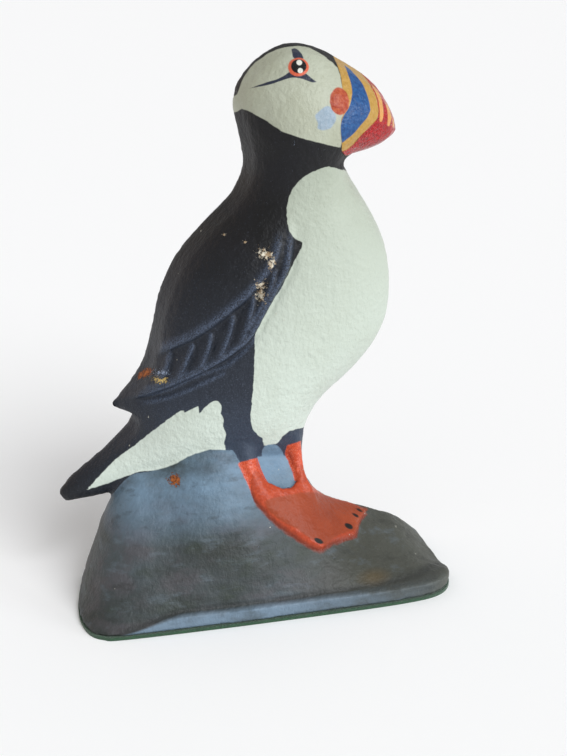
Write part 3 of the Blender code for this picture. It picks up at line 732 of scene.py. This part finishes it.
def near_eye(place, normal):
    """The eye and its ring."""
    near = in_ellipse(in_picture(place), EYE_RING) > -5
    return (normal[:, 1] < 0.1) & (place[:, 2] > HEAD_DETAIL_Z) & near


def near_toes(place, normal):
    """The dark marks at the toes' ends."""
    near = in_ellipses(in_picture(place), TOE_MARKS) > -4
    return near & (normal[:, 2] > 0) & (place[:, 2] < FOOT_TO_Z)


def carve(place, normal, seen, high, feathers, outer):
    """Carved places of vertices, how far above the rock's lip they are, and its size there."""
    on_rock = rises(ROCK_NEAR - high, -0.5, 1.0) * outer
    depth = feathers * outer
    on_head = (place[:, 2] > HEAD_DETAIL_Z) * outer
    depth += EYE_DOME * rises(in_ellipse(seen, EYE_RING), -1.5, 6) * on_head
    depth += CHEEK_DOME * rises(in_ellipse(seen, ROSETTE), -1, 7) * on_head
    place = place.copy()
    place[:, 1] -= depth
    lumps = HAMMERED * (slow_noise(place, 13, 1) + 0.5 * slow_noise(place, 5, 2))
    grain = GRAIN * (slow_noise(place, 2.6, 3) + slow_noise(place, 6, 4))
    uneven = (place[:, 1] < BACK - SMOOTH_SKIN) & (place[:, 2] > FLOOR + SMOOTH_SKIN)
    size = lip_size(place[:, 0], place[:, 1])
    over_lip = place[:, 2] - FLOOR - LIP_HEIGHT * size
    swell = CREASE_SWELL * bell(over_lip, -0.8, 0.8)
    crease = CREASE_DEPTH * bell(over_lip, 1.0, 0.9)
    place[:, 1] -= size * (swell - crease) * outer * (size > CREASE_FROM)
    above_foot = rises(place[:, 2], FLOOR, LUMPS_GROW)
    place += normal * ((grain * uneven) + lumps * on_rock * above_foot * uneven)[:, None]
    return place, over_lip, size


def keep_head_paint(mesh, place, seen):
    """Keep how far inside each of the head's painted areas the vertices are."""
    head = np.where(place[:, 2] > HEAD_Z, 0, NOT_HERE)
    for name, area in (("face", FACE), ("beak", BEAK), ("beak_blue", BEAK_BLUE),
                       ("beak_red", BEAK_RED), ("cheek_spot", CHEEK_SPOT)):
        keep_value(mesh, name, in_area(seen, area) + head)
    for name, ellipses in (("rosette", (ROSETTE,)), ("eye_ring", (EYE_RING,)),
                           ("eye_black", (EYE_BLACK,)), ("eye_glints", EYE_GLINTS)):
        keep_value(mesh, name, in_ellipses(seen, ellipses) + head)
    keep_value(mesh, "brow", np.maximum(in_area(seen, BROW), in_area(seen, EYE_STREAK)) + head)
    stripes = np.max([in_stripe(seen, s) for s in BEAK_STRIPES], axis=0) + head
    keep_value(mesh, "beak_stripes", stripes - STRIPE_FADE * np.maximum(place[:, 1] - PAST_SIDE, 0))


def keep_body_paint(mesh, place, seen, high, inner):
    """Keep how far inside the painted areas of breast, tail, legs and foot the vertices are."""
    body = np.where(place[:, 2] > BODY_Z, 0, NOT_HERE)
    keep_value(mesh, "breast", in_area(seen, BREAST) + body)
    keep_value(mesh, "under_tail", in_area(seen, UNDER_TAIL) + body)
    thighs = (place[:, 2] > BODY_Z) & (place[:, 2] < THIGHS_TO_Z) & ~inner
    keep_value(mesh, "between_legs", in_area(seen, BETWEEN_LEGS) + np.where(thighs, 0, NOT_HERE))
    legs = [
        np.minimum(leg_depth(place, leg) + LEG_PAINT, below_line(seen, cuff) / PX_PER_MM)
        for leg, cuff in ((LEFT_LEG, LEFT_CUFF), (RIGHT_LEG, RIGHT_CUFF))
    ]
    keep_value(mesh, "legs", np.where(inner, UNPAINTED, np.maximum(*legs)))
    foot = np.minimum(in_area(place[:, :2], FOOT, SMOOTH_STEP / 2) + FOOT_PAINT, high - 0.3)
    foot = np.minimum(foot, FOOT_THICKNESS + 3 - high)
    keep_value(mesh, "foot", np.where(inner, UNPAINTED, foot))
    keep_value(mesh, "above_rock", high)
    low = np.where(place[:, 2] < FOOT_TO_Z, 0, NOT_HERE)
    keep_value(mesh, "foot_top", in_area(seen, FOOT_TOP) + low)
    keep_value(mesh, "toe_marks", in_ellipses(seen, TOE_MARKS) + low)


def keep_wear(mesh, place, seen):
    """Keep how near the middles of chips, rust, stain, specks and painted glints the vertices are."""
    round_side = RUST_FADE * np.maximum(place[:, 1] - PAST_RUST, 0) * (place[:, 2] > RUST_FROM_Z)
    keep_value(mesh, "bare_chips", in_spots(seen, BARE_CHIPS))
    keep_value(mesh, "stain", in_spots(seen, (STAIN,)))
    for name, spots in (("rust", RUST), ("pale_specks_and_glints", PALE_SPECKS_AND_GLINTS), ("yellow_specks", YELLOW_SPECKS)):
        keep_value(mesh, name, in_spots(seen, spots) - round_side)


def fine_casting():
    """The whole casting: its skin evened out, softened, carved and painted."""
    piece = fine_skin("puffin_casting", "painted_casting")
    mesh = piece.data
    place = vertex_places(mesh)
    move_vertices(mesh, soften(place, vertex_edges(mesh), softening(place), SOFTEN_ROUNDS))
    thin_inside(piece)
    mesh = piece.data
    for chosen in (near_wing, near_beak_and_eye, near_eye, near_toes):
        refine(mesh, chosen)

    place, normal = vertex_places(mesh), vertex_normals(mesh)
    seen, high = in_picture(place), above_rock(place)
    inner = hidden_inside(mesh, place, normal)
    outer = ~inner & (place[:, 1] < BACK - RIM)
    feathers, painted_wing_highlight = carve_wing(place, normal)
    place, over_lip, lip = carve(place, normal, seen, high, feathers, outer)
    move_vertices(mesh, place)

    keep_value(mesh, "painted_wing_highlight", painted_wing_highlight * outer)
    keep_value(mesh, "rock", np.where(inner, UNPAINTED, ROCK_NEAR - high))
    no_lip = inner | (lip < LIP_PAINT_FROM)
    keep_value(mesh, "lip", np.where(no_lip, UNPAINTED, -over_lip - LIP_PAINT_DROP * (1 - lip)))
    keep_value(mesh, "bare_back", np.where(inner, 1.0, place[:, 1] - (BACK - BARE_RIM)))
    keep_head_paint(mesh, place, seen)
    keep_body_paint(mesh, place, seen, high, inner)
    keep_wear(mesh, place, seen)
    mesh.shade_smooth()
    mesh.set_sharp_from_angle(angle=math.radians(60))
    mesh.materials.clear()
    mesh.materials.append(painted_iron())
    return piece


def srgb(red, green, blue):
    """A colour as seen on a screen, 0 to 255, made linear."""
    return tuple((c / 255 / 12.92) if c < 10.3 else ((c / 255 + 0.055) / 1.055)**2.4
                 for c in (red, green, blue)) + (1.0,)


class Finish:
    """A material being built: its nodes, and short ways to add to them."""

    def __init__(self, name):
        self.material = bpy.data.materials.new(name)
        self.material.use_nodes = True
        self.tree = self.material.node_tree
        self.shader = self.tree.nodes["Principled BSDF"]
        self.place = self.add("TexCoord").outputs["Object"]

    def add(self, kind, **settings):
        node = self.tree.nodes.new("ShaderNode" + kind)
        for name, value in settings.items():
            setattr(node, name, value)
        return node

    def feed(self, socket, value):
        """Give a socket a link or a plain value."""
        if isinstance(value, bpy.types.NodeSocket):
            self.tree.links.new(value, socket)
        else:
            socket.default_value = value

    def math(self, operation, a, b=0.0, clamp=False):
        node = self.add("Math", operation=operation, use_clamp=clamp)
        self.feed(node.inputs[0], a)
        self.feed(node.inputs[1], b)
        return node.outputs[0]

    def times(self, a, b):
        return self.math("MULTIPLY", a, b)

    def mix(self, share, a, b):
        """Colour a where share is 0 and b where it is 1."""
        node = self.add("Mix", data_type="RGBA")
        self.feed(node.inputs[0], share)
        self.feed(node.inputs[6], a)
        self.feed(node.inputs[7], b)
        return node.outputs[2]

    def blend(self, share, a, b):
        """Number a where share is 0 and b where it is 1."""
        node = self.add("Mix", data_type="FLOAT")
        self.feed(node.inputs[0], share)
        self.feed(node.inputs[2], a)
        self.feed(node.inputs[3], b)
        return node.outputs[0]

    def noise(self, scale, detail=3.0, rough=0.5, stretch=(1, 1, 1), turn=(0, 0, 0)):
        """Noise from 0 to 1; scale is lumps to the metre."""
        mapping = self.add("Mapping")
        mapping.inputs["Scale"].default_value = stretch
        mapping.inputs["Rotation"].default_value = [math.radians(a) for a in turn]
        self.feed(mapping.inputs["Vector"], self.place)
        node = self.add("TexNoise")
        self.feed(node.inputs["Vector"], mapping.outputs[0])
        node.inputs["Scale"].default_value = scale
        node.inputs["Detail"].default_value = detail
        node.inputs["Roughness"].default_value = rough
        return node.outputs["Fac"]

    def value(self, name):
        """The number kept for each vertex under a name."""
        return self.add("Attribute", attribute_name=name).outputs["Fac"]

    def edge(self, value, soft=0.8, wobble=None, reach=0.0):
        """0 outside a painted area and 1 inside, with an edge that wobbles as a brush does."""
        if isinstance(value, str):
            value = self.value(value)
        if wobble is not None:
            value = self.math("ADD", value, self.times(self.math("SUBTRACT", wobble, 0.5), reach))
        return self.math("ADD", self.math("DIVIDE", value, soft), 0.5, clamp=True)

    def ramp(self, value, low, high):
        """0 where a value is at low and 1 where it is at high."""
        node = self.add("MapRange")
        self.feed(node.inputs["Value"], value)
        node.inputs["From Min"].default_value = low
        node.inputs["From Max"].default_value = high
        return node.outputs[0]

    def bump(self, height, distance, below=None):
        """Fine relief, in metres, over another one."""
        node = self.add("Bump")
        node.inputs["Distance"].default_value = distance
        self.feed(node.inputs["Height"], height)
        if below is not None:
            self.feed(node.inputs["Normal"], below)
        return node.outputs[0]


def black_paint(f, mottle, dust, grains, across, height):
    """The back and wing: nearly black, with a painted blue sheen towards tail and thighs and painted
    highlights on the thigh and on feather edges.
    """
    black = f.mix(f.ramp(mottle, 0.35, 0.7), srgb(8, 8, 9), srgb(14, 14, 19))
    # Painted sheen: the black turns bluer towards the tail and the lower body.
    painted_blue_sheen = f.times(f.ramp(height, 0.165, 0.090), f.ramp(across, -0.095, -0.040))
    black = f.mix(painted_blue_sheen, black, srgb(35, 41, 52))
    # Painted highlight on the thigh.
    thigh_highlight = f.times(f.ramp(height, 0.100, 0.070), f.ramp(across, -0.050, -0.020))
    black = f.mix(f.times(thigh_highlight, 0.6), black, srgb(58, 70, 88))
    # Pale blue specks, set within the painted sheen.
    black = f.mix(f.times(f.times(grains, painted_blue_sheen), 0.5), black, srgb(74, 84, 100))
    black = f.mix(f.times(f.ramp(dust, 0.64, 0.70), 0.4), black, srgb(84, 90, 104))
    # Painted highlight: feather edges lighter blue-grey where the cool light catches them, broken up by
    # specks.
    painted_edge_highlight = f.times(f.value("painted_wing_highlight"), f.ramp(dust, 0.36, 0.62))
    black = f.mix(f.times(painted_edge_highlight, 0.66), black, srgb(92, 106, 130))
    return black


def rock_paint(f, across, height):
    """The rock: grey and green strokes, paler blue on its top and lip, partly paint and partly painted
    highlight, with painted shade in the crease above the lip.
    """
    strokes = f.noise(11, 7, 0.62, stretch=(0.8, 1, 1.8), turn=(0, 14, 0))
    patches = f.noise(20, 6, 0.62)
    small_patches = f.noise(44, 6, 0.62, stretch=(0.8, 1, 1.5), turn=(0, 24, 0))
    thin_strokes = f.noise(95, 6, 0.66, stretch=(0.6, 1, 2.0), turn=(0, 20, 0))
    rock = f.mix(f.ramp(strokes, 0.38, 0.60), srgb(47, 51, 49), srgb(70, 78, 82))
    rock = f.mix(f.times(f.ramp(small_patches, 0.50, 0.62), 0.6), rock, srgb(76, 72, 76))
    rock = f.mix(f.times(f.ramp(small_patches, 0.47, 0.36), 0.6), rock, srgb(46, 54, 44))
    to_right = f.ramp(across, 0.005, 0.040)
    rock = f.mix(f.times(to_right, f.ramp(patches, 0.32, 0.52)), rock, srgb(64, 65, 58))
    rock = f.mix(f.times(f.ramp(across, 0.050, 0.075), 0.7), rock, srgb(78, 80, 74))
    # Paler blue on the rock's upper part: partly its paint, partly a painted highlight where the cool
    # light falls.
    pale_top_and_highlight = f.times(f.ramp(height, 0.034, 0.058), f.ramp(strokes, 0.34, 0.52))
    rock = f.mix(f.times(pale_top_and_highlight, 0.9), rock, srgb(112, 138, 160))
    rock = f.mix(f.times(f.times(pale_top_and_highlight, f.ramp(patches, 0.5, 0.62)), 0.7),
                 rock, srgb(130, 156, 176))
    rock = f.mix(f.times(f.ramp(thin_strokes, 0.55, 0.72), 0.45), rock, srgb(100, 112, 122))
    rock = f.mix(f.times(f.ramp(thin_strokes, 0.45, 0.30), 0.5), rock, srgb(36, 38, 35))
    # Painted shade in the crease above the lip.
    crease_shade = f.times(f.ramp(f.value("lip"), -2.8, -1.2), f.ramp(f.value("lip"), 0.2, -0.8))
    rock = f.mix(f.times(crease_shade, 0.6), rock, srgb(36, 38, 38))
    # Pale blue along the lip: partly its paint, partly a painted highlight.
    pale_lip_and_highlight = f.times(f.ramp(f.value("lip"), -0.6, 0.6), f.ramp(small_patches, 0.34, 0.54))
    pale_lip_and_highlight = f.times(pale_lip_and_highlight, f.ramp(across, 0.082, 0.0))
    rock = f.mix(f.times(pale_lip_and_highlight, 0.9), rock, srgb(112, 132, 150))
    rock = f.mix(f.times(f.ramp(f.value("stain"), -0.2, 0.7), 0.6), rock, srgb(84, 70, 44))
    return rock


def paint_layers(f, mottle, fine, grains, height, rock):
    """Painted areas from the lowest up: name, colour, roughness, softness and wobble of edge."""
    # The face's cream white, darker than the breast: partly its own tint, partly painted shade on the
    # head.
    cream_with_painted_shade = f.mix(f.ramp(mottle, 0.35, 0.65), srgb(162, 165, 146), srgb(172, 176, 159))
    # The breast's white darkens towards the top and brightens low down: painted shade and painted
    # light.
    white_with_painted_shade = f.mix(f.ramp(height, 0.185, 0.075), srgb(160, 167, 152), srgb(202, 212, 202))
    white_with_painted_shade = f.mix(f.times(f.ramp(mottle, 0.45, 0.7), 0.4), white_with_painted_shade, srgb(178, 186, 172))
    stained = f.times(f.ramp(f.noise(1100, 4, 0.7), 0.60, 0.72), 0.55)
    cream_with_painted_shade = f.mix(stained, cream_with_painted_shade, srgb(138, 136, 112))
    white_with_painted_shade = f.mix(stained, white_with_painted_shade, srgb(164, 168, 148))
    slate = srgb(38, 44, 60)
    orange = f.mix(f.ramp(fine, 0.35, 0.65), srgb(176, 58, 28), srgb(196, 76, 42))
    # Pale pink specks on the legs: painted highlight.
    legs = f.mix(f.times(grains, 0.6), orange, srgb(226, 138, 112))
    # The foot's sides, a little darker than the legs and darker still towards the rock: painted shade.
    foot_side_with_painted_shade = f.mix(f.ramp(fine, 0.3, 0.7), srgb(156, 54, 26), srgb(180, 70, 36))
    foot_side_with_painted_shade = f.mix(f.ramp(f.value("above_rock"), 2.8, 0.8), foot_side_with_painted_shade, srgb(110, 40, 20))
    # The foot's top, browner and darker than its sides: partly its own paint, partly painted shade.
    foot_top = f.mix(f.ramp(mottle, 0.3, 0.7), srgb(130, 50, 20), srgb(152, 63, 29))

    return (
        ("breast", white_with_painted_shade, 0.42, 0.8, 3.0),
        ("under_tail", white_with_painted_shade, 0.42, 0.8, 2.2),
        ("face", cream_with_painted_shade, 0.44, 0.9, 1.8),
        ("brow", slate, 0.40, 0.8, 0.5),
        ("eye_ring", srgb(200, 92, 64), 0.35, 0.9, 0.8),
        ("eye_black", srgb(14, 12, 14), 0.25, 0.8, 0.4),
        ("eye_glints", srgb(214, 214, 204), 0.35, 0.7, 0.2),
        ("cheek_spot", f.mix(f.ramp(fine, 0.3, 0.7), srgb(130, 148, 162), srgb(150, 164, 176)), 0.42,
         1.4, 1.8),
        ("beak", f.mix(f.ramp(fine, 0.3, 0.7), srgb(162, 124, 52), srgb(182, 144, 76)), 0.26,
         0.9, 0.7),
        ("beak_blue", f.mix(f.ramp(fine, 0.3, 0.7), srgb(18, 56, 106), srgb(36, 86, 140)), 0.26,
         0.8, 0.6),
        ("beak_red", f.mix(f.ramp(fine, 0.35, 0.65), srgb(138, 6, 12), srgb(178, 10, 16)), 0.16,
         0.9, 0.7),
        ("beak_stripes", srgb(208, 150, 84), 0.22, 0.8, 0.6),
        ("rosette", f.mix(f.ramp(fine, 0.35, 0.65), srgb(146, 48, 26), srgb(176, 86, 52)), 0.34,
         1.0, 1.6),
        ("rock", rock, 0.50, 0.5, 0.6),
        ("between_legs", rock, 0.50, 0.8, 1.0),
        ("legs", legs, 0.22, 0.5, 0.5),
        ("foot", foot_side_with_painted_shade, 0.32, 0.5, 0.5),
        ("foot_top", foot_top, 0.46, 2.2, 2.0),
        ("toe_marks", srgb(14, 9, 8), 0.60, 0.8, 0.8),
    )


def worn_paint_and_glints(f, fine, colour, rough):
    """Colour and roughness with chips, rust, specks and painted glints, and where those are.

    A worn spot breaks into flakes: many in its middle and few at its edge.
    """
    ragged = f.noise(800, 5, 0.8)
    bare = f.mix(f.ramp(fine, 0.38, 0.58), srgb(214, 208, 190), srgb(150, 126, 96))
    rusty = f.mix(f.ramp(fine, 0.35, 0.62), srgb(92, 48, 24), srgb(176, 98, 42))
    worn = 0.0
    for name, paint, share in (
        ("bare_chips", bare, 0.24), ("rust", rusty, 0.32),
        ("pale_specks_and_glints", srgb(150, 164, 188), 0.19), ("yellow_specks", srgb(196, 170, 106), 0.20),
    ):
        fullness = f.times(f.value(name), share)
        flakes = f.edge(f.math("SUBTRACT", f.math("ADD", fullness, ragged), 0.62), 0.025)
        colour = f.mix(flakes, colour, paint)
        worn = f.math("MAXIMUM", worn, flakes)
    nicks = f.edge(f.math("SUBTRACT", f.noise(360, 2, 0.5), 0.775), 0.012)
    colour = f.mix(f.times(nicks, 0.8), colour, srgb(172, 170, 158))
    return colour, f.blend(worn, rough, 0.75), worn


def cast_surface(f, worn):
    """Fine relief of sand-cast iron, brush marks, ripples in the glossy red, and chips."""
    cast = f.bump(f.noise(420, 4, 0.6), 0.0006)
    brushed = f.bump(f.noise(900, 2, 0.5, stretch=(1, 1, 0.35)), 0.00018, cast)
    glossy = f.times(f.noise(800, 2, 0.6), f.ramp(f.value("beak_red"), -0.5, 0.5))
    rippled = f.bump(glossy, 0.0012, brushed)
    return f.bump(f.math("SUBTRACT", 1.0, worn), 0.00025, rippled)


def painted_iron():
    """Brushed enamel in many colours over cast iron, bare and a little rusty behind."""
    f = Finish("painted_iron")
    mottle = f.noise(45, 4, 0.55)
    fine = f.noise(700, 3, 0.6)
    dust = f.noise(1900, 3, 0.65)
    wobble = f.noise(330, 2, 0.5)
    split = f.add("SeparateXYZ")
    f.feed(split.inputs[0], f.place)
    across, height = split.outputs["X"], split.outputs["Z"]
    grains = f.ramp(dust, 0.50, 0.72)

    colour = black_paint(f, mottle, dust, grains, across, height)
    rough = f.blend(f.ramp(mottle, 0.3, 0.7), 0.46, 0.58)
    rock = rock_paint(f, across, height)
    layers = paint_layers(f, mottle, fine, grains, height, rock)
    for name, paint, paint_rough, soft, reach in layers:
        share = f.edge(name, soft, wobble, reach)
        colour = f.mix(share, colour, paint)
        rough = f.blend(share, rough, paint_rough)
    colour, rough, worn = worn_paint_and_glints(f, fine, colour, rough)

    back = f.edge("bare_back", 0.5)
    iron = f.mix(f.ramp(f.noise(90, 5, 0.65), 0.45, 0.7), srgb(40, 38, 38), srgb(86, 58, 42))
    f.feed(f.shader.inputs["Base Color"], f.mix(back, colour, iron))
    f.feed(f.shader.inputs["Roughness"], f.blend(back, rough, 0.68))
    f.shader.inputs["Specular IOR Level"].default_value = 0.32
    f.feed(f.shader.inputs["Normal"], cast_surface(f, worn))
    return f.material


def felt_outline(grow):
    """The rock's footprint, grown outwards, in millimetres."""
    outline = smooth_open([(x, BACK - share * DEPTH) for x, share in FOOTPRINT], SMOOTH_STEP)
    ahead = np.gradient(outline, axis=0)
    out = np.column_stack([ahead[:, 1], -ahead[:, 0]])
    out /= np.linalg.norm(out, axis=1)[:, None]
    out *= np.sign(np.sum(out * (outline - [0.0, BACK]), axis=1))[:, None]
    grown = outline + out * grow
    grown[:, 1] = np.minimum(grown[:, 1], BACK)
    return grown


def felt_sheet():
    """The felt under the rock, its cut size and its area."""
    low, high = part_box("felt_pad")
    rim = felt_outline(FELT_PROUD)
    bm = bmesh.new()
    verts = [bm.verts.new((x * MM, y * MM, low.z)) for x, y in rim]
    face = bm.faces.new(verts)
    bmesh.ops.triangulate(bm, faces=[face])
    sheet_area = sum(f.calc_area() for f in bm.faces)
    made = bmesh.ops.extrude_face_region(bm, geom=list(bm.faces))["geom"]
    bmesh.ops.translate(bm, verts=[g for g in made if isinstance(g, bmesh.types.BMVert)],
                        vec=(0, 0, FELT_THICKNESS * MM))
    bmesh.ops.recalc_face_normals(bm, faces=bm.faces)
    bmesh.ops.subdivide_edges(bm, edges=list(bm.edges), cuts=2, use_grid_fill=True)
    piece = new_piece("felt", bm)
    piece.data.materials.append(green_felt())
    return piece, (high.x - low.x, high.y - low.y), sheet_area


def green_felt():
    """Dark green wool felt."""
    f = Finish("green_felt")
    fibres = f.noise(1400, 4, 0.7)
    colour = f.mix(f.ramp(fibres, 0.35, 0.7), srgb(14, 48, 28), srgb(32, 84, 48))
    f.feed(f.shader.inputs["Base Color"], colour)
    f.shader.inputs["Roughness"].default_value = 0.95
    f.shader.inputs["Sheen Weight"].default_value = 0.4
    f.feed(f.shader.inputs["Normal"], f.bump(fibres, 0.0004))
    return f.material


def plain(name, colour, roughness):
    """A material of one colour."""
    f = Finish(name)
    f.shader.inputs["Base Color"].default_value = colour
    f.shader.inputs["Roughness"].default_value = roughness
    return f.material


def add_stage():
    """A plain pale floor that runs far out behind the object."""
    bm = bmesh.new()
    bmesh.ops.create_grid(bm, x_segments=1, y_segments=1, size=FLOOR_REACH)
    floor = new_piece("floor", bm)
    floor.data.materials.append(plain("pale_floor", (0.95, 0.95, 0.95, 1), 0.95))


def add_light(name, place, energy, angle, colour):
    """A wide, soft light from a direction, given as a place it shines from."""
    light = bpy.data.lights.new(name, "SUN")
    light.energy = energy
    light.angle = math.radians(angle)
    light.color = colour
    lamp = bpy.data.objects.new(name, light)
    lamp.rotation_euler = (-Vector(place)).to_track_quat("-Z", "Y").to_euler()
    bpy.context.scene.collection.objects.link(lamp)


def add_lights():
    """Soft daylight from the right, a window, a little warmth from behind, and a white room."""
    add_light("daylight", (0.42, -0.68, 0.64), 2.2, 35, (0.96, 0.98, 1.0))
    add_light("window", (0.75, -0.50, 0.19), 1.0, 22, (0.90, 0.95, 1.0))
    add_light("warm_wall", (-0.55, 0.30, 0.12), 0.35, 60, (1.0, 0.66, 0.45))
    bpy.context.scene.view_settings.view_transform = "Standard"
    world = bpy.data.worlds.new("studio")
    world.use_nodes = True
    sky = world.node_tree.nodes["Background"]
    sky.inputs["Color"].default_value = (1.0, 1.0, 1.0, 1)
    sky.inputs["Strength"].default_value = ROOM_LIGHT
    bpy.context.scene.world = world


add_camera()
casting = fine_casting()
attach(casting, "root")
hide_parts("puffin_casting")
felt, felt_cut, felt_area = felt_sheet()
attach(felt, "root")
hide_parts("felt_pad")
add_stage()
add_lights()
